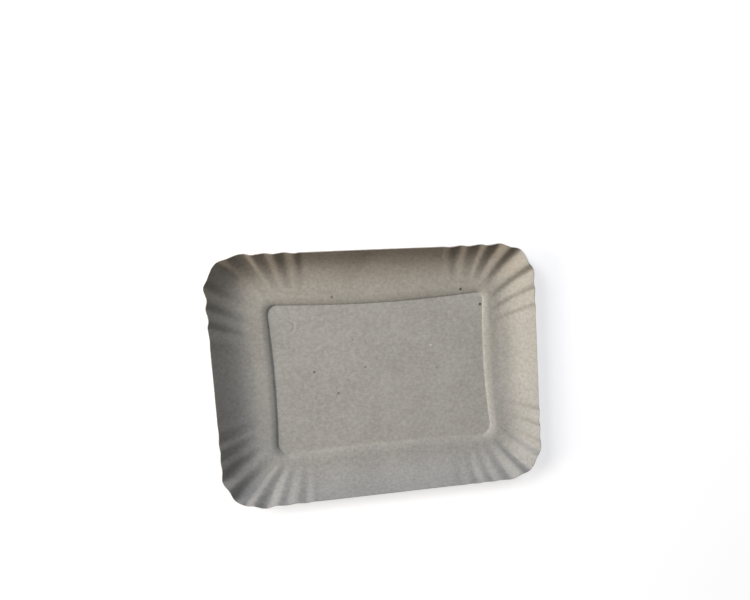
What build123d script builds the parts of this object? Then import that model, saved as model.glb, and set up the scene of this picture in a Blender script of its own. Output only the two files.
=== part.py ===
"""A pressed greyboard food tray: one sheet with a sunken panel, a ledge and a wall fluted at its corners.

It lies on its panel's underside at z = 0, with the panel's centre at the origin and its long side along X.
"""

import os
from math import acos, copysign, cos, degrees, pi, radians, sin

from build123d import *

# Rim in plan, at the middle of the board
length = 200
width = 150
corner_radius = 22

# Sheet
board = 0.6

# Profile from the panel out to the rim, with radii on the inside of each bend
crease_radius = 0.5
shoulder_radius = 3.7
shoulder_rise = 1.3
cove_radius = 18
wall_slope = 37
rim_rise = 13.4

# Ledge between shoulder and cove, at the middle of the long and short sides
ledge_long = 4.3
ledge_short = 6.1

# Panel in plan: its sides curve inward between its corners
panel_bow_long = 2.3
panel_bow_short = 1.1
panel_corner_radius = 4

# Flutes on each side of a corner, with their pitch and depth at the rim; the widest is in the corner itself
flutes_per_side = 4
flute_pitch = 12
corner_flute = 19
flute_depth = 1.1
# Share of that pitch at the panel, and power of the distance along the side by which the depth fades
flute_fan = 0.6
flute_fade = 4

# Sections on each half flute, and on the plain stretches to the middle of each side
sections_per_half_flute = 2
plain_long_sections = 4
plain_short_sections = 3

# Facets on each bend of the profile
crease_facets = 2
shoulder_facets = 3
cove_facets = 5

# Crease and shoulder turn by the same angle, up and back to level
step_radii = crease_radius + shoulder_radius + board
step_turn = degrees(acos(1 - shoulder_rise / step_radii))
step_run = step_radii * sin(radians(step_turn))

# Cove and wall above the ledge, along the middle of the board, and their run in plan
cove_middle = cove_radius + board / 2
cove_length = cove_middle * radians(wall_slope)
wall_rise = rim_rise - shoulder_rise - cove_middle * (1 - cos(radians(wall_slope)))
wall_length = wall_rise / sin(radians(wall_slope))
wall_run = cove_middle * sin(radians(wall_slope)) + wall_length * cos(radians(wall_slope))

# A quarter of the rim and of the panel's edge, from the middle of a long side to the middle of a short side
with BuildLine() as rim:
    FilletPolyline((0, width / 2), (length / 2, width / 2), (length / 2, 0), radius=corner_radius)

with BuildLine() as panel:
    long_side = (0, width / 2 - wall_run - ledge_long - step_run)
    short_side = (length / 2 - wall_run - ledge_short - step_run, 0)
    corner = (short_side[0] + panel_bow_short, long_side[1] + panel_bow_long)
    TangentArc(long_side, corner, tangent=(1, 0))
    TangentArc(short_side, corner, tangent=(0, 1))
    fillet(panel.vertices().sort_by(Axis.X)[-1], panel_corner_radius)


def corner_middle(line):
    """Distance along a quarter from the middle of its long side to the middle of its corner."""
    long_edge, corner_edge, _ = line.edges()
    return long_edge.length + corner_edge.length / 2


def flute_offset(half_flutes):
    """Distance along the rim from a corner's middle, after that many half flutes."""
    if half_flutes < 1:
        return half_flutes * corner_flute / 2
    return corner_flute / 2 + (half_flutes - 1) * flute_pitch / 2


half_flutes_per_side = 2 * flutes_per_side
flute_reach = flute_offset(half_flutes_per_side)


def flute_lift(half_flutes):
    """Lift of the rim off the plain wall: a valley in the corner, then crests and valleys that fade out."""
    left = 1 - (flute_offset(half_flutes) / flute_reach) ** flute_fade
    return -flute_depth * left * cos(pi * half_flutes)


def stations():
    """Place of each section of a quarter, as distances along rim and panel, and the rim's lift there."""
    middle = Vector(corner_middle(rim), corner_middle(panel))
    end = Vector(rim.wire().length, panel.wire().length)
    fan = Vector(1, flute_fan)
    first, last = middle - fan * flute_reach, middle + fan * flute_reach
    for index in range(plain_long_sections):
        yield first * (index / plain_long_sections), 0
    steps = half_flutes_per_side * sections_per_half_flute
    for step in range(-steps, steps + 1):
        half_flutes = abs(step) / sections_per_half_flute
        yield middle + fan * copysign(flute_offset(half_flutes), step), flute_lift(half_flutes)
    for index in range(1, plain_short_sections + 1):
        yield last + (end - last) * (index / plain_short_sections), 0


def lifted(line, share, lift):
    """Point at a share of a line's length, moved off it to the left by that lift."""
    along = line % share
    return line @ share + Vector(-along.Y, along.X) * lift


def skin(level, ledge, lift):
    """Points of one face of the sheet from panel to rim, at that level within the board, in a section."""
    crease = JernArc((0, level), (1, 0), crease_radius + board - level, step_turn)
    shoulder = JernArc(crease @ 1, crease % 1, shoulder_radius + level, -step_turn)
    cove = JernArc(shoulder @ 1 + Vector(ledge, 0), (1, 0), cove_radius + board - level, wall_slope)
    wall = PolarLine(cove @ 1, wall_length, wall_slope)
    points = [crease @ (facet / crease_facets) for facet in range(crease_facets)]
    points += [shoulder @ (facet / shoulder_facets) for facet in range(shoulder_facets + 1)]
    for facet in range(cove_facets + 1):
        share = facet / cove_facets
        flute_share = (ledge + cove_length * share) / (ledge + cove_length + wall_length)
        points.append(lifted(cove, share, lift * flute_share))
    return points + [lifted(wall, 1, lift)]


def section(place, lift):
    """Underside from panel to rim and upper side back again, on an upright plane across the rim."""
    rim_point = rim.wire().position_at(place.X, PositionMode.LENGTH)
    panel_point = panel.wire().position_at(place.Y, PositionMode.LENGTH)
    outward = rim_point - panel_point
    plane = Plane(panel_point, outward, outward.cross(Vector(0, 0, 1)))
    ledge = outward.length - step_run - wall_run
    points = skin(0, ledge, lift) + skin(board, ledge, lift)[::-1]
    return [plane.from_local_coords(point) for point in points]


# The quarter's sections, mirrored into each corner in turn, with their distances around the rim
quarter = [(place.X, section(place, lift)) for place, lift in stations()]
quarter_length = rim.wire().length
distances = []
sections = []
for turn, (side_x, side_y) in enumerate([(1, 1), (1, -1), (-1, -1), (-1, 1)]):
    mirrored = side_x != side_y
    for distance, points in quarter[:0:-1] if mirrored else quarter[:-1]:
        distances.append(turn * quarter_length + (quarter_length - distance if mirrored else distance))
        sections.append([(point.X * side_x, point.Y * side_y, point.Z) for point in points])
distances.append(4 * quarter_length)

# Rings run around the tray through the same place on every section, with the sheet's faces ruled between them
with BuildPart() as tray:
    rings = [Edge.make_spline(list(ring), periodic=True, parameters=distances) for ring in zip(*sections)]
    strips = [Face.make_surface_from_curves(*pair) for pair in zip(rings, rings[1:])]
    panel_faces = [Face(Wire([rings[0]])), Face(Wire([rings[-1]]))]
    add(Solid(Shell(strips + panel_faces)))

os.makedirs("parts", exist_ok=True)
tray.part.label = "tray"
export_step(tray.part, "parts/tray.step")
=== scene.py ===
"""Looks of the pressed greyboard food tray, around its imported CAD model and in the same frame, in metres."""

from math import cos, pi, radians, sin

import bpy
import numpy as np
from mathutils import Matrix, Vector


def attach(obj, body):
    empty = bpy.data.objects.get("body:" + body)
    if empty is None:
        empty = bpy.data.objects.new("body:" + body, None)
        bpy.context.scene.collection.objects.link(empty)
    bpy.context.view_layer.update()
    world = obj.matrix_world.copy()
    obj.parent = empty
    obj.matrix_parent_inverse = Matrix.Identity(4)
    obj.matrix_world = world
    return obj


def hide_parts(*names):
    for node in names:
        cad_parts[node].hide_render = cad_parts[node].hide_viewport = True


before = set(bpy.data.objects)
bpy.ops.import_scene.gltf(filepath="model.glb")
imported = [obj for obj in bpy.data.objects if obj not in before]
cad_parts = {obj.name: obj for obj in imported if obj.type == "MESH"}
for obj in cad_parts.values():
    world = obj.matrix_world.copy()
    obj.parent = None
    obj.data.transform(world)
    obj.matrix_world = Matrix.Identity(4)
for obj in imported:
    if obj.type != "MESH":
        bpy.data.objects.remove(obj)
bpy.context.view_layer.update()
scene = bpy.context.scene
# Sizes of the tray and its marks are in millimetres, and those of the floor and the lamps in metres
MM = 0.001

# Rim in plan, and how far it lies to the back of the middle
LENGTH, WIDTH, CORNER_RADIUS = 199.3, 149.5, 22
RIM_SHIFT = 0.3
RIM = LENGTH / 2, WIDTH / 2, CORNER_RADIUS

# Panel in plan, with its sides bowed inward
PANEL_HALF_X, PANEL_HALF_Y = 68.7, 46.5
PANEL_BOW_BACK, PANEL_BOW_FRONT, PANEL_BOW_LEFT, PANEL_BOW_RIGHT = 2.9, 2.3, 1.6, 2.4
# Corners of the panel, named by the signs of X and Y: how far the press left each one off its even place, and radius
PANEL_CORNERS = {
    (1, 1): ((0.75, 0.8), 5.5),
    (1, -1): ((2.55, 0.0), 8.5),
    (-1, -1): ((1.65, 0.0), 7.5),
    (-1, 1): ((1.65, -0.5), 7.0),
}
# Height of the panel's flat middle above its edge, and the outermost share of the panel that swells up to it
PANEL_CROWN, PANEL_SWELL = 0.25, 0.25

# Sheet, and heights of its underside at the ledge and the rim
BOARD = 0.6
LEDGE_RISE, RIM_RISE = 1.8, 12.9
# Slopes at even steps in degrees, for the step from panel to ledge and for each wall from ledge to rim
STEP_SLOPES = (0, 42, 38, 27, 20, 16.5, 13.5, 10.5, 7, 3.5, 0)
FRONT_STEP_SLOPES = (0, 24, 26, 24, 22, 19, 15, 11, 7, 3, 0)
BACK_SLOPES = (6, 15, 27, 42, 54, 56)
FRONT_SLOPES = (4.5, 12, 24, 38.5, 50, 52)
RIGHT_SLOPES = (4.5, 7, 25, 40, 40, 39.5)
LEFT_SLOPES = (5, 12.5, 25, 33.5, 37, 39.8)
CORNER_SLOPES = (4.4, 12, 25.8, 35, 41.4, 42)

# Flutes around each corner, named by the signs of its X and Y and clockwise from the back: place along the rim from
# the corner's middle, with the long side first, and height at the rim, of each crest and valley in turn
FLUTES = {
    (1, 1): [
        (-54, 0), (-49, 0.5), (-42, -0.4), (-37.5, 0.45), (-29.2, -0.65), (-25.2, 0.5), (-17.2, -0.75), (-10.5, 1.5),
        (-2.4, -1.9), (6.6, 1.9), (12, -1.5), (19.8, 1.1), (24, -0.95), (31.6, 0.8), (35, -0.65), (41.3, 0.4),
        (49, 0),
    ],
    (1, -1): [
        (-60, 0), (-55, 0.1), (-48.5, -0.2), (-43, 0.15), (-38.5, -0.4), (-33.4, 0.25), (-28.3, -0.4), (-22.8, 0.4),
        (-16, -0.4), (-8.3, 1.7), (-1.6, -2.1), (7.0, 1.8), (12.2, -1.9), (16.8, -0.9), (20.5, 0.5), (27.4, -0.8),
        (31.3, 0.65), (38, -0.75), (41.7, 0.6), (47, 0.05), (51, 0),
    ],
    (-1, -1): [
        (-57, 0), (-51, 0.1), (-47.4, 0.3), (-43, -0.4), (-37.2, 0.45), (-31.2, -0.45), (-25.5, 0.6), (-19, -1.5),
        (-11.4, 1.5), (-6, -0.9), (-0.8, -1.4), (6.6, 1.4), (13.5, -1.1), (20.4, 0.3), (25.4, -0.5), (31.7, 0.35),
        (35.7, -0.4), (42.5, 0.35), (48, 0),
    ],
    (-1, 1): [
        (-56, 0), (-51, -0.1), (-47, 0.4), (-41, -0.6), (-35, 0.4), (-30, -0.6), (-22.8, 0.6), (-18.7, -0.8),
        (-9, 0.6), (-2, -1.8), (8, 0.1), (13.6, -1.8), (20.8, 0.9), (25.6, -0.9), (32, 0.9), (36.3, -0.6), (44, 0.45),
        (49, 0),
    ],
}
# All of those heights are taken times this
FLUTE_DEPTH = 1.0
# Share by which a flute's flanks are straight, as in a pleat, and not rounded
FLUTE_CRISPNESS = 0.15
# Spacing of the flutes at the panel, as a share of that at the rim, on the long and short sides
FLUTE_FAN_LONG, FLUTE_FAN_SHORT = 0.32, 0.58
# Length of rim that has flutes on each side of a corner, and share of the way over ledge and wall where they begin
FLUTE_REACH = 60
FLUTE_START = 0.02
# Slight warp of the ledge and the wall: height, distance over which it changes, and seed
WARP, WARP_LENGTH, WARP_SEED = 0.6, 45, 7.0

# Grid of the blank: columns around each quarter and rows across each stretch of the profile
COLUMNS_LONG, COLUMNS_FLUTED, COLUMNS_SHORT = 20, 190, 10
STEP_ROWS, LEDGE_ROWS, WALL_ROWS = 20, 3, 24
# Rows of the panel, as shares of the way from its middle to its edge: close together where it swells
PANEL_ROWS = (0, 0.4, 0.7, 0.76, 0.82, 0.88, 0.94)
# Points closer than this are one, and edges that fold by more than this many degrees are sharp
WELD, SHARP_FOLD = 0.02, 50

# Pulp: width of its clumps, of the sheet's slow changes in density and of the space between its stray dark bits
CLUMP, CLOUD, BIT_SPACING = 1.9, 28, 8
# Fibres: length, how many times longer than wide, and the two ways in which they lie
FIBRE, FIBRE_SLENDERNESS, FIBRE_TURNS = 3, 6.0, (0.5, 2.1)
# Shares of the density and of the fibres in the pulp's tone, and what brings its plain grey to a tone of 0.5
CLOUD_SHARE, FIBRE_SHARE, TONE_OFFSET = 0.3, 0.2, 0.2
PULP_GREYS = [(0.0, "#7b7870"), (0.3, "#939189"), (0.5, "#9f9d95"), (0.7, "#aaa8a0"), (1.0, "#bfbdb5")]
# Painted light colour on the formed sides: a cool tint at the front and a warm, slightly darker tint at the back stand
# in for cool and warm light, over this distance either way
PAINTED_LIGHT_TINTS = [(0.0, "#eef0f8"), (0.15, "#fafafd"), (0.5, "#fffdfd"), (0.83, "#fcf8f3"), (1.0, "#ece0d7")]
PAINTED_TINT_REACH = 74
# The right wall, between these places, goes no further than this share of the way to the warmest painted light tint
RIGHT_WALL, RIGHT_WALL_PAINTED_TINT_SHARE = (78, 96), 0.8
# Old print in the dark marks, also used to paint shade into the press mark's groove, and raw fibre in the pale marks,
# also used to paint a highlight on the ring around that groove
PRINT_AND_PAINTED_SHADE, RAW_FIBRE_AND_PAINTED_HIGHLIGHT = "#2c2926", "#d3d0c9"

# Dark specks pressed into the upper side: X, Y and height of the surface, radius and strength
SPECKS = [
    (67.5, 39.3, 0.7, 1.25, 1.0),
    (54.5, 49.3, 2.1, 1.3, 0.85),
    (-27.4, 48.8, 2.2, 1.2, 0.5),
    (-27.4, -10.9, 0.85, 1.15, 0.65),
    (-41.4, 3.5, 0.85, 1.2, 0.65),
    (-9.5, 4.3, 0.85, 1.05, 0.4),
    (-16.3, 22.0, 0.85, 1.0, 0.35),
    (36.4, 0.5, 0.85, 1.1, 0.4),
]
# A speck's middle lies this far above the surface, so that none shows through on the underside
SPECK_LIFT = 0.5
# One pale fleck: its place, how much a distance counts along each axis, and the distances over which it fades
FLECK, FLECK_SQUASH, FLECK_FADE = (33.3, 15.2, 0.85), (0.6, 1.1, 1.0), (0.25, 0.6)
# Half ring left in the panel by the press: its middle, and the radii of its groove and of the painted highlight ring
# around it
PRESS_MARK, PRESS_GROOVE, PRESS_HIGHLIGHT_RING = (-55.3, 32.3, 0.8), 3.3, 4.5
# Distances off each ring over which it fades, and to the right of the middle over which it sets in
PRESS_FADE, PRESS_START = (0.15, 0.75), (0.3, 2.3)
# How much painted shade darkens the pulp in the groove, how much painted highlight pales it on the ring around the
# groove, and how much the sheet's cut edge pales it
GROOVE_PAINTED_SHADE_SHARE, PAINTED_HIGHLIGHT_SHARE, EDGE_SHARE = 0.18, 0.15, 0.45

# Floor: half its side, and how far it lies below the tray
FLOOR_HALF, FLOOR_GAP = 3.0, 0.1 * MM
# Part of the floor's white that is its own near the tray and far from it, and the distances where those hold
FLOOR_WHITE, FLOOR_WHITE_AT = (0.64, 1.0), (0.4, 1.6)

# Lamps: name, azimuth from -X towards +Y and elevation in degrees, side, watts and colour
LAMPS = [
    ("low_window", 0, 21, 0.6, 22.8, "#fff6e8"),
    ("window", 31, 36, 0.6, 20.0, "#fafaff"),
    ("sky", 110, 52, 0.8, 8.4, "#f1f4ff"),
]
LAMP_DISTANCE = 1.6

# Camera: sensor's width, focal length and place in millimetres, shift of the frame as a share of it, and turn
SENSOR_WIDTH, FOCAL_LENGTH = 36, 24.22
CAMERA_PLACE = -41.767, 29.336, 315.997
CAMERA_SHIFT = -0.0223, 0.0947
CAMERA_TURN = (
    (0.98531, 0.07686, -0.15253),
    (-0.06355, 0.99388, 0.09030),
    (0.15853, -0.07928, 0.98417),
)


def node(tree, kind, inputs=None, **settings):
    """Adds a node to a tree with its settings, and links or sets its inputs by name or number."""
    made = tree.nodes.new(kind)
    for name, value in settings.items():
        setattr(made, name, value)
    for name, value in (inputs or {}).items():
        if isinstance(value, bpy.types.NodeSocket):
            tree.links.new(value, made.inputs[name])
        else:
            made.inputs[name].default_value = value
    return made


def linear(colour):
    """sRGB hex value as linear RGBA."""
    parts = [int(colour[i : i + 2], 16) / 255 for i in (1, 3, 5)]
    return [p / 12.92 if p <= 0.04045 else ((p + 0.055) / 1.055) ** 2.4 for p in parts] + [1.0]


def quarter(distance, half_x, half_y, radius):
    """Points of a rounded rectangle's quarter, at distances from the middle of its long side."""
    straight = half_x - radius
    turn = np.clip((distance - straight) / radius, 0, pi / 2)
    x = np.minimum(distance, straight) + radius * np.sin(turn)
    y = half_y - radius + radius * np.cos(turn) - np.maximum(distance - straight - radius * pi / 2, 0)
    return x, y


def quarter_lengths(half_x, half_y, radius):
    """Distances from the middle of a quarter's long side to the middle of its corner, and to its end."""
    return half_x - radius + radius * pi / 4, half_x + half_y - 2 * radius + radius * pi / 2


def fanned(distance, panel_quarter):
    """Distance along the panel that a distance along the rim leads to: flutes draw together towards the corners."""
    rim_middle, rim_end = quarter_lengths(*RIM)
    panel_middle, panel_end = quarter_lengths(*panel_quarter)
    on_long = distance < rim_middle
    rim_side = np.where(on_long, rim_middle, rim_end - rim_middle)
    panel_side = np.where(on_long, panel_middle, panel_end - panel_middle)
    share = np.abs(distance - rim_middle) / rim_side
    first = np.where(on_long, FLUTE_FAN_LONG, FLUTE_FAN_SHORT) * rim_side / panel_side
    return panel_middle + np.sign(distance - rim_middle) * panel_side * (first * share + (1 - first) * share**3)


def flute_wave(offset, flutes):
    """Height of the flutes at distances from a corner's middle."""
    place, height = np.array(flutes, float).T
    index = np.clip(np.searchsorted(place, offset) - 1, 0, len(place) - 2)
    share = np.clip((offset - place[index]) / (place[index + 1] - place[index]), 0, 1)
    rounded = share * share * (3 - 2 * share)
    share = rounded + (share - rounded) * FLUTE_CRISPNESS
    return height[index] + (height[index + 1] - height[index]) * share


def loop():
    """Rim points, panel points and flute heights around the whole tray, clockwise from the middle of its back."""
    middle, end = quarter_lengths(*RIM)
    columns = np.cumsum([0, COLUMNS_LONG, COLUMNS_FLUTED, COLUMNS_SHORT])
    places = (0, middle - FLUTE_REACH, middle + FLUTE_REACH, end)
    spread = np.interp(np.arange(columns[-1] + 1), columns, places)
    rims, panels, waves = [], [], []
    for (side_x, side_y), flutes in FLUTES.items():
        distance = spread[:-1] if side_x == side_y else spread[:0:-1]
        rim = np.stack(quarter(distance, *RIM), 1)
        _, panel_radius = PANEL_CORNERS[side_x, side_y]
        panel_quarter = PANEL_HALF_X, PANEL_HALF_Y, panel_radius
        x, y = quarter(fanned(distance, panel_quarter), *panel_quarter)
        bow_long = PANEL_BOW_BACK if side_y > 0 else PANEL_BOW_FRONT
        bow_short = PANEL_BOW_RIGHT if side_x > 0 else PANEL_BOW_LEFT
        pull_x = 1 - bow_short / PANEL_HALF_X * (1 - (y / PANEL_HALF_Y) ** 2)
        pull_y = 1 - bow_long / PANEL_HALF_Y * (1 - (x / PANEL_HALF_X) ** 2)
        rims.append(rim * (side_x, side_y) + (0, RIM_SHIFT))
        panels.append(np.stack([x * pull_x, y * pull_y], 1) * (side_x, side_y))
        waves.append(flute_wave(distance - middle, flutes))
    even = np.concatenate(panels)
    panel = even.copy()
    for (side_x, side_y), (shift, _) in PANEL_CORNERS.items():
        nearness = (1 + side_x * even[:, :1] / PANEL_HALF_X) * (1 + side_y * even[:, 1:] / PANEL_HALF_Y) / 4
        panel += nearness * shift
    return np.concatenate(rims), panel, np.concatenate(waves)


def rows_of(slopes, rows):
    """Slopes in radians at each row, from those at even steps."""
    return np.radians(np.interp(np.linspace(0, 1, rows + 1), np.linspace(0, 1, len(slopes)), slopes))[:, None]


def step_slopes(outward):
    """Slopes of the step at each row and column: gentler along the front."""
    plain, front = rows_of(STEP_SLOPES, STEP_ROWS), rows_of(FRONT_STEP_SLOPES, STEP_ROWS)
    return plain + (front - plain) * np.where(outward[:, 1] < 0, outward[:, 1] ** 2, 0)


def wall_slopes(outward):
    """Slopes of the wall at each row and column: each side's own, blended into those of the corners."""
    back, front, right, left, corner = (
        rows_of(slopes, WALL_ROWS)
        for slopes in (BACK_SLOPES, FRONT_SLOPES, RIGHT_SLOPES, LEFT_SLOPES, CORNER_SLOPES)
    )
    long_side = np.where(outward[:, 1] > 0, back, front)
    short_side = np.where(outward[:, 0] > 0, right, left)
    sides = short_side + (long_side - short_side) * outward[:, 1] ** 2
    on_corner = 2 * np.abs(outward[:, 0] * outward[:, 1])
    return sides + (corner - sides) * on_corner


def climbed(slopes, rise):
    """Runs and rises at each row of a stretch with those slopes and that whole rise, and its length."""
    middle = (slopes[1:] + slopes[:-1]) / 2
    length = rise / np.sin(middle).mean(0)
    start = np.zeros((1, slopes.shape[1]))
    runs, rises = (
        np.concatenate([start, np.cumsum(part, 0)]) * length / len(middle)
        for part in (np.cos(middle), np.sin(middle))
    )
    return runs, rises, length


def sheet_rows(rim, panel):
    """Rows from the panel's middle to the rim: place in plan, height, and share of the way over ledge and wall."""
    outward = rim - panel
    run = np.linalg.norm(outward, axis=1)
    outward /= run[:, None]
    step_runs, step_rises, _ = climbed(step_slopes(outward), LEDGE_RISE)
    wall_runs, wall_rises, wall_length = climbed(wall_slopes(outward), RIM_RISE - LEDGE_RISE)
    ledge = run - step_runs[-1] - wall_runs[-1]
    nothing = np.zeros(len(run))

    half_spine = PANEL_HALF_X - PANEL_HALF_Y
    spine = np.stack([np.clip(panel[:, 0], -half_spine, half_spine), nothing], 1)
    for share in PANEL_ROWS:
        swell = max(0, (share - 1) / PANEL_SWELL + 1)
        yield spine + (panel - spine) * share, nothing + PANEL_CROWN * (1 - swell**2), nothing
    for at, rise in zip(step_runs[:-1], step_rises[:-1]):
        yield panel + outward * at[:, None], rise, nothing
    for row in range(LEDGE_ROWS):
        along = ledge * row / LEDGE_ROWS
        plan = panel + outward * (step_runs[-1] + along)[:, None]
        yield plan, nothing + LEDGE_RISE, along / (ledge + wall_length)
    for row, (at, rise) in enumerate(zip(wall_runs, wall_rises)):
        plan = panel + outward * (step_runs[-1] + ledge + at)[:, None]
        yield plan, LEDGE_RISE + rise, (ledge + wall_length * row / WALL_ROWS) / (ledge + wall_length)


def blank():
    """Underside of the smooth pressed form, with what the flutes and the painted light tint need at each of its
    points.
    """
    rim, panel, wave = loop()
    plans, rises, ways = zip(*sheet_rows(rim, panel))
    columns, rows = len(wave), len(plans)
    points = np.column_stack([np.concatenate(plans), np.concatenate(rises)]) * MM
    first = np.arange(columns)
    after = np.roll(first, -1)
    around = np.stack([first, after, after + columns, first + columns], 1)
    faces = np.concatenate([around + row * columns for row in range(rows - 1)])
    mesh = bpy.data.meshes.new("tray_blank")
    mesh.from_pydata(points.tolist(), [], faces.tolist())

    share = np.clip((np.concatenate(ways) - FLUTE_START) / (1 - FLUTE_START), 0, 1)
    edge_row = len(PANEL_ROWS)
    formed = np.interp(np.arange(rows), [edge_row, edge_row + STEP_ROWS / 2], [0, 1]).repeat(columns)
    for name, values in [("flute", np.tile(wave, rows)), ("up_the_wall", share), ("formed", formed)]:
        mesh.attributes.new(name, "FLOAT", "POINT").data.foreach_set("value", values.astype(np.float32))
    return mesh


def forming():
    """Tree that presses the flutes into the blank, warps it slightly and gives it the board's thickness."""
    tree = bpy.data.node_groups.new("forming", "GeometryNodeTree")
    tree.interface.new_socket("Blank", in_out="INPUT", socket_type="NodeSocketGeometry")
    for name in ("Flute depth", "Board", "Warp", "Warp length", "Seed"):
        tree.interface.new_socket(name, in_out="INPUT", socket_type="NodeSocketFloat")
    tree.interface.new_socket("Finish", in_out="INPUT", socket_type="NodeSocketMaterial")
    tree.interface.new_socket("Tray", in_out="OUTPUT", socket_type="NodeSocketGeometry")
    sizes = node(tree, "NodeGroupInput").outputs
    weld = WELD * MM
    flat = node(tree, "GeometryNodeMergeByDistance", {"Geometry": sizes["Blank"], "Distance": weld}).outputs[0]

    flute = node(tree, "GeometryNodeInputNamedAttribute", {"Name": "flute"}, data_type="FLOAT").outputs[0]
    share = node(tree, "GeometryNodeInputNamedAttribute", {"Name": "up_the_wall"}, data_type="FLOAT").outputs[0]
    depth = node(tree, "ShaderNodeMath", {0: flute, 1: sizes["Flute depth"]}, operation="MULTIPLY").outputs[0]

    frequency = node(tree, "ShaderNodeMath", {0: 1.0, 1: sizes["Warp length"]}, operation="DIVIDE").outputs[0]
    noise = node(
        tree,
        "ShaderNodeTexNoise",
        {"Scale": frequency, "W": sizes["Seed"], "Detail": 1.0},
        noise_dimensions="4D",
    ).outputs[0]
    centred = node(tree, "ShaderNodeMath", {0: noise, 1: 0.5}, operation="SUBTRACT").outputs[0]
    warp = node(tree, "ShaderNodeMath", {0: centred, 1: sizes["Warp"]}, operation="MULTIPLY").outputs[0]
    lift = node(tree, "ShaderNodeMath", {0: depth, 1: warp}, operation="ADD").outputs[0]
    lift = node(tree, "ShaderNodeMath", {0: lift, 1: share}, operation="MULTIPLY").outputs[0]
    normal = node(tree, "GeometryNodeInputNormal").outputs[0]
    offset = node(tree, "ShaderNodeVectorMath", {0: normal, "Scale": lift}, operation="SCALE").outputs[0]
    pressed = node(tree, "GeometryNodeSetPosition", {"Geometry": flat, "Offset": offset}).outputs[0]

    upper = node(
        tree,
        "GeometryNodeExtrudeMesh",
        {"Mesh": pressed, "Offset Scale": sizes["Board"], "Individual": False},
    ).outputs
    edged = node(
        tree,
        "GeometryNodeStoreNamedAttribute",
        {"Geometry": upper["Mesh"], "Name": "cut_edge", "Value": upper["Side"]},
        data_type="FLOAT",
        domain="FACE",
    ).outputs[0]
    under = node(tree, "GeometryNodeFlipFaces", {"Mesh": pressed}).outputs[0]
    both = node(tree, "GeometryNodeJoinGeometry", {"Geometry": edged})
    tree.links.new(under, both.inputs[0])
    solid = node(tree, "GeometryNodeMergeByDistance", {"Geometry": both.outputs[0], "Distance": weld}).outputs[0]
    fold = node(tree, "GeometryNodeInputMeshEdgeAngle").outputs["Unsigned Angle"]
    sharp = node(
        tree, "FunctionNodeCompare", {"A": fold, "B": radians(SHARP_FOLD)}, operation="GREATER_THAN"
    ).outputs[0]
    smooth = node(tree, "GeometryNodeSetShadeSmooth", {"Geometry": solid, "Shade Smooth": True}).outputs[0]
    crisp = node(
        tree,
        "GeometryNodeSetShadeSmooth",
        {"Geometry": smooth, "Selection": sharp, "Shade Smooth": False},
        domain="EDGE",
    ).outputs[0]
    whole = node(tree, "GeometryNodeRealizeInstances", {"Geometry": crisp}).outputs[0]
    done = node(tree, "GeometryNodeSetMaterial", {"Geometry": whole, "Material": sizes["Finish"]}).outputs[0]
    node(tree, "NodeGroupOutput", {"Tray": done})
    return tree


def pulp_grain(tree, place):
    """Clumps of the pulp, its fibres, and its tone, in which 0.5 is the plain grey."""
    clump = node(
        tree, "ShaderNodeTexNoise", {"Vector": place, "Scale": 1 / (CLUMP * MM), "Detail": 3.0, "Roughness": 0.6}
    ).outputs[0]
    cloud = node(tree, "ShaderNodeTexNoise", {"Vector": place, "Scale": 1 / (CLOUD * MM), "Detail": 2.0}).outputs[0]
    # Real fibres are finer than a pixel, so they are drawn half a millimetre wide
    strands = []
    for turn in FIBRE_TURNS:
        laid = node(
            tree,
            "ShaderNodeMapping",
            {"Vector": place, "Rotation": (0.0, 0.0, turn), "Scale": (1.0, FIBRE_SLENDERNESS, FIBRE_SLENDERNESS)},
        ).outputs[0]
        strand = node(tree, "ShaderNodeTexNoise", {"Vector": laid, "Scale": 1 / (FIBRE * MM), "Detail": 1.0})
        strands.append(strand.outputs[0])
    fibre = node(tree, "ShaderNodeMath", {0: strands[0], 1: strands[1]}, operation="ADD").outputs[0]
    tone = node(
        tree,
        "ShaderNodeMapRange",
        {0: clump, "From Min": 0.2, "From Max": 0.8, "To Min": 0.11, "To Max": 0.59},
        clamp=False,
    ).outputs[0]
    for part, share in ((cloud, CLOUD_SHARE), (fibre, FIBRE_SHARE)):
        tone = node(tree, "ShaderNodeMath", {0: part, 1: share, 2: tone}, operation="MULTIPLY_ADD").outputs[0]
    tone = node(tree, "ShaderNodeMath", {0: tone, 1: TONE_OFFSET}, operation="SUBTRACT").outputs[0]
    return clump, fibre, tone


def painted_light_tint_share(tree, spread):
    """Share of the way from the front's painted cool light tint to the back's painted warm light tint, with the right
    wall held out of the warmest part.
    """
    along = node(
        tree, "ShaderNodeMapRange", {0: spread["Y"], "From Min": -PAINTED_TINT_REACH * MM, "From Max": PAINTED_TINT_REACH * MM}
    ).outputs[0]
    inner, outer = (x * MM for x in RIGHT_WALL)
    most = node(
        tree,
        "ShaderNodeMapRange",
        {0: spread["X"], "From Min": inner, "From Max": outer, "To Min": 1.0, "To Max": RIGHT_WALL_PAINTED_TINT_SHARE},
    ).outputs[0]
    return node(tree, "ShaderNodeMath", {0: along, 1: most}, operation="MINIMUM").outputs[0]


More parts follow.
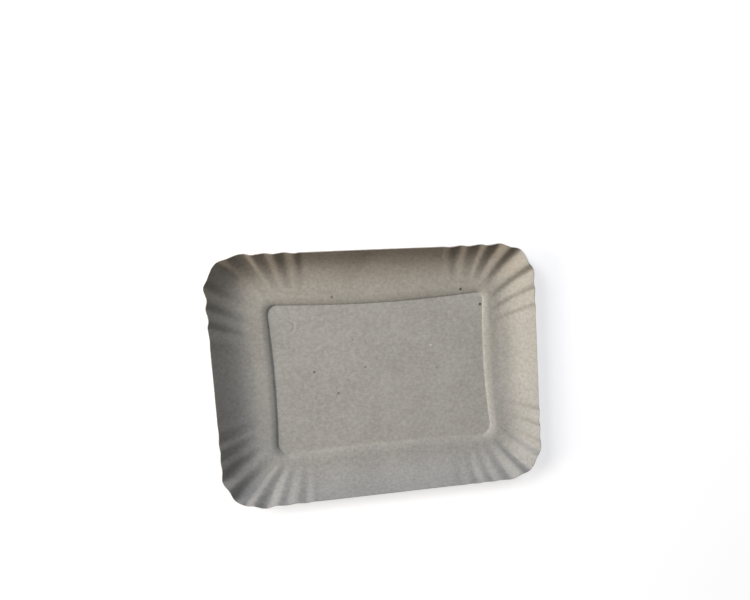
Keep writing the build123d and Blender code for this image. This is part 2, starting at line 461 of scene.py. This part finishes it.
def dark_specks(tree, place):
    """Strength of the dark marks: stray bits up to 0.7 mm across in the pulp, and the specks in the upper side."""
    bits = node(tree, "ShaderNodeTexVoronoi", {"Vector": place, "Scale": 1 / (BIT_SPACING * MM)}).outputs["Distance"]
    dark = node(
        tree,
        "ShaderNodeMapRange",
        {0: bits, "From Min": 0.02, "From Max": 0.055, "To Min": 0.4, "To Max": 0.0},
        interpolation_type="SMOOTHSTEP",
    ).outputs[0]
    for x, y, z, radius, strength in SPECKS:
        spot = Vector((x, y, z + SPECK_LIFT)) * MM
        away = node(tree, "ShaderNodeVectorMath", {0: place, 1: spot}, operation="DISTANCE").outputs["Value"]
        speck = node(
            tree,
            "ShaderNodeMapRange",
            {0: away, "From Min": 0.5 * radius * MM, "From Max": radius * MM, "To Min": strength, "To Max": 0.0},
            interpolation_type="SMOOTHSTEP",
        ).outputs[0]
        dark = node(tree, "ShaderNodeMath", {0: dark, 1: speck}, operation="MAXIMUM").outputs[0]
    return dark


def press_rings(tree, place, spread):
    """Strengths of the press mark's groove, 1 mm wide, which gets painted shade, and of the ring around it, which
    carries only a painted highlight, both only on the right.
    """
    centre = Vector(PRESS_MARK) * MM
    away = node(tree, "ShaderNodeVectorMath", {0: place, 1: centre}, operation="DISTANCE").outputs["Value"]
    start, full = (centre.x + offset * MM for offset in PRESS_START)
    right = node(tree, "ShaderNodeMapRange", {0: spread["X"], "From Min": start, "From Max": full}).outputs[0]
    near, far = (distance * MM for distance in PRESS_FADE)
    rings = []
    for radius in (PRESS_GROOVE, PRESS_HIGHLIGHT_RING):
        off_ring = node(tree, "ShaderNodeMath", {0: away, 1: radius * MM}, operation="SUBTRACT").outputs[0]
        off_ring = node(tree, "ShaderNodeMath", {0: off_ring}, operation="ABSOLUTE").outputs[0]
        ring = node(
            tree,
            "ShaderNodeMapRange",
            {0: off_ring, "From Min": near, "From Max": far, "To Min": 1.0, "To Max": 0.0},
            interpolation_type="SMOOTHSTEP",
        ).outputs[0]
        rings.append(node(tree, "ShaderNodeMath", {0: ring, 1: right}, operation="MULTIPLY").outputs[0])
    return rings


def pale_fleck(tree, place):
    """Strength of the pale fleck, which is longer than wide."""
    off = node(tree, "ShaderNodeVectorMath", {0: place, 1: Vector(FLECK) * MM}, operation="SUBTRACT").outputs[0]
    off = node(tree, "ShaderNodeVectorMath", {0: off, 1: FLECK_SQUASH}, operation="MULTIPLY").outputs[0]
    away = node(tree, "ShaderNodeVectorMath", {0: off}, operation="LENGTH").outputs["Value"]
    near, far = (distance * MM for distance in FLECK_FADE)
    return node(
        tree,
        "ShaderNodeMapRange",
        {0: away, "From Min": near, "From Max": far, "To Min": 0.9, "To Max": 0.0},
        interpolation_type="SMOOTHSTEP",
    ).outputs[0]


def greyboard():
    """Greyboard, pressed from recycled pulp: matt and warm grey, with a fine mottle of fibres and stray specks."""
    material = bpy.data.materials.new("greyboard")
    material.use_nodes = True
    tree = material.node_tree
    shader = tree.nodes["Principled BSDF"]
    shader.inputs["Specular IOR Level"].default_value = 0.25
    place = node(tree, "ShaderNodeTexCoord").outputs["Object"]
    spread = node(tree, "ShaderNodeSeparateXYZ", {0: place}).outputs

    clump, fibre, tone = pulp_grain(tree, place)
    shades = []
    for value, stops in ((tone, PULP_GREYS), (painted_light_tint_share(tree, spread), PAINTED_LIGHT_TINTS)):
        shade = node(tree, "ShaderNodeValToRGB", {0: value})
        elements = shade.color_ramp.elements
        while len(elements) < len(stops):
            elements.new(0.5)
        for element, (at, stop) in zip(elements, stops):
            element.position, element.color = at, linear(stop)
        shades.append(shade.outputs[0])
    pulp, painted_tint = shades
    # The formed sides are multiplied by painted light colour: cool towards the front, warm and slightly darker towards
    # the back
    formed = node(tree, "ShaderNodeAttribute", attribute_name="formed").outputs["Fac"]
    colour = node(
        tree, "ShaderNodeMix", {0: formed, 6: pulp, 7: painted_tint}, data_type="RGBA", blend_type="MULTIPLY"
    ).outputs[2]

    dark = dark_specks(tree, place)
    groove, painted_highlight = press_rings(tree, place, spread)
    # The press mark's groove gets painted shade in the dark print colour, on top of the specks
    dark = node(tree, "ShaderNodeMath", {0: groove, 1: GROOVE_PAINTED_SHADE_SHARE, 2: dark}, operation="MULTIPLY_ADD").outputs[0]
    colour = node(tree, "ShaderNodeMix", {0: dark, 6: colour, 7: linear(PRINT_AND_PAINTED_SHADE)}, data_type="RGBA").outputs[2]

    # The cut edge shows paler raw fibre, as the fleck does, and the ring around the press mark's groove gets a painted
    # highlight in that pale colour
    pale = pale_fleck(tree, place)
    edge = node(tree, "ShaderNodeAttribute", attribute_name="cut_edge").outputs["Fac"]
    for part, share in ((edge, EDGE_SHARE), (painted_highlight, PAINTED_HIGHLIGHT_SHARE)):
        pale = node(tree, "ShaderNodeMath", {0: part, 1: share, 2: pale}, operation="MULTIPLY_ADD").outputs[0]
    colour = node(tree, "ShaderNodeMix", {0: pale, 6: colour, 7: linear(RAW_FIBRE_AND_PAINTED_HIGHLIGHT)}, data_type="RGBA").outputs[2]
    tree.links.new(colour, shader.inputs["Base Color"])

    dull = node(tree, "ShaderNodeMapRange", {0: clump, "To Min": 0.8, "To Max": 0.98}).outputs[0]
    tree.links.new(dull, shader.inputs["Roughness"])
    felt = node(tree, "ShaderNodeMath", {0: fibre, 1: 0.6, 2: clump}, operation="MULTIPLY_ADD").outputs[0]
    felt = node(tree, "ShaderNodeMath", {0: groove, 1: -1.5, 2: felt}, operation="MULTIPLY_ADD").outputs[0]
    bump = node(tree, "ShaderNodeBump", {"Strength": 0.5, "Distance": 0.05 * MM, "Height": felt}).outputs[0]
    tree.links.new(bump, shader.inputs["Normal"])
    return material


def make_tray():
    """The whole tray, formed from its blank into one plain mesh."""
    sheet = bpy.data.objects.new("tray_blank", blank())
    scene.collection.objects.link(sheet)
    tree = forming()
    shaping = sheet.modifiers.new("forming", "NODES")
    shaping.node_group = tree
    values = {
        "Flute depth": FLUTE_DEPTH * MM,
        "Board": BOARD * MM,
        "Warp": WARP * MM,
        "Warp length": WARP_LENGTH * MM,
        "Seed": WARP_SEED,
        "Finish": greyboard(),
    }
    for item in tree.interface.items_tree:
        if item.in_out == "INPUT" and item.name in values:
            shaping[item.identifier] = values[item.name]
    graph = bpy.context.evaluated_depsgraph_get()
    mesh = bpy.data.meshes.new_from_object(sheet.evaluated_get(graph), depsgraph=graph)
    sheet.modifiers.remove(shaping)
    tray = bpy.data.objects.new("greyboard_tray", mesh)
    scene.collection.objects.link(tray)
    bpy.data.objects.remove(sheet)
    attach(tray, "root")
    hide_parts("tray")


def background_rays(tree):
    """1 for the rays that show a background: straight from the camera, off gloss or through glass."""
    rays = node(tree, "ShaderNodeLightPath").outputs
    seen = rays["Is Camera Ray"]
    for kind in ("Is Glossy Ray", "Is Transmission Ray"):
        seen = node(tree, "ShaderNodeMath", {0: seen, 1: rays[kind]}, operation="MAXIMUM").outputs[0]
    return seen


def make_floor():
    """White floor with a pale shadow: part of its white is its own, more of it farther out, and lamps add the rest."""
    mesh = bpy.data.meshes.new("floor")
    corners = [(x * FLOOR_HALF, y * FLOOR_HALF, -FLOOR_GAP) for x, y in ((-1, -1), (1, -1), (1, 1), (-1, 1))]
    mesh.from_pydata(corners, [], [(0, 1, 2, 3)])
    floor = bpy.data.objects.new("floor", mesh)
    scene.collection.objects.link(floor)
    material = bpy.data.materials.new("white_floor")
    material.use_nodes = True
    tree = material.node_tree
    tree.nodes.clear()
    place = node(tree, "ShaderNodeTexCoord").outputs["Object"]
    away = node(tree, "ShaderNodeVectorMath", {0: place}, operation="LENGTH").outputs["Value"]
    near, far = FLOOR_WHITE_AT
    least, most = FLOOR_WHITE
    own = node(
        tree, "ShaderNodeMapRange", {0: away, "From Min": near, "From Max": far, "To Min": least, "To Max": most}
    ).outputs[0]
    own = node(tree, "ShaderNodeMath", {0: background_rays(tree), 1: own}, operation="MULTIPLY").outputs[0]
    glow = node(tree, "ShaderNodeEmission", {"Color": linear("#ffffff"), "Strength": own}).outputs[0]
    plain = node(tree, "ShaderNodeBsdfDiffuse", {"Color": linear("#bcbcbc")}).outputs[0]
    mixed = node(tree, "ShaderNodeAddShader", {0: glow, 1: plain}).outputs[0]
    node(tree, "ShaderNodeOutputMaterial", {"Surface": mixed})
    mesh.materials.append(material)


def make_lamp(name, azimuth, elevation, side, watts, colour):
    """Square soft lamp aimed at the tray."""
    light = bpy.data.lights.new(name, "AREA")
    light.size = side
    light.energy = watts
    light.color = linear(colour)[:3]
    lamp = bpy.data.objects.new(name, light)
    scene.collection.objects.link(lamp)
    turn, tilt = radians(azimuth), radians(elevation)
    away = Vector((-cos(turn) * cos(tilt), sin(turn) * cos(tilt), sin(tilt)))
    lamp.location = away * LAMP_DISTANCE
    lamp.rotation_euler = away.to_track_quat("Z", "Y").to_euler()


def make_camera():
    """Camera at the photograph's viewing angle."""
    lens = bpy.data.cameras.new("camera")
    lens.sensor_width = SENSOR_WIDTH
    lens.lens = FOCAL_LENGTH
    lens.shift_x, lens.shift_y = CAMERA_SHIFT
    lens.clip_start = 10 * MM
    camera = bpy.data.objects.new("camera", lens)
    scene.collection.objects.link(camera)
    camera.matrix_world = Matrix.Translation(Vector(CAMERA_PLACE) * MM) @ Matrix(CAMERA_TURN).to_4x4()
    scene.camera = camera


def make_room():
    """White all around to the eye, and almost no light from there on the tray."""
    room = bpy.data.worlds.new("room")
    room.use_nodes = True
    tree = room.node_tree
    background = tree.nodes["Background"]
    background.inputs["Color"].default_value = linear("#ffffff")
    seen = background_rays(tree)
    strength = node(tree, "ShaderNodeMapRange", {0: seen, "To Min": 0.01, "To Max": 1.0}).outputs[0]
    tree.links.new(strength, background.inputs["Strength"])
    scene.world = room


make_tray()
make_floor()
for lamp in LAMPS:
    make_lamp(*lamp)
make_camera()
make_room()
scene.view_settings.view_transform = "Standard"
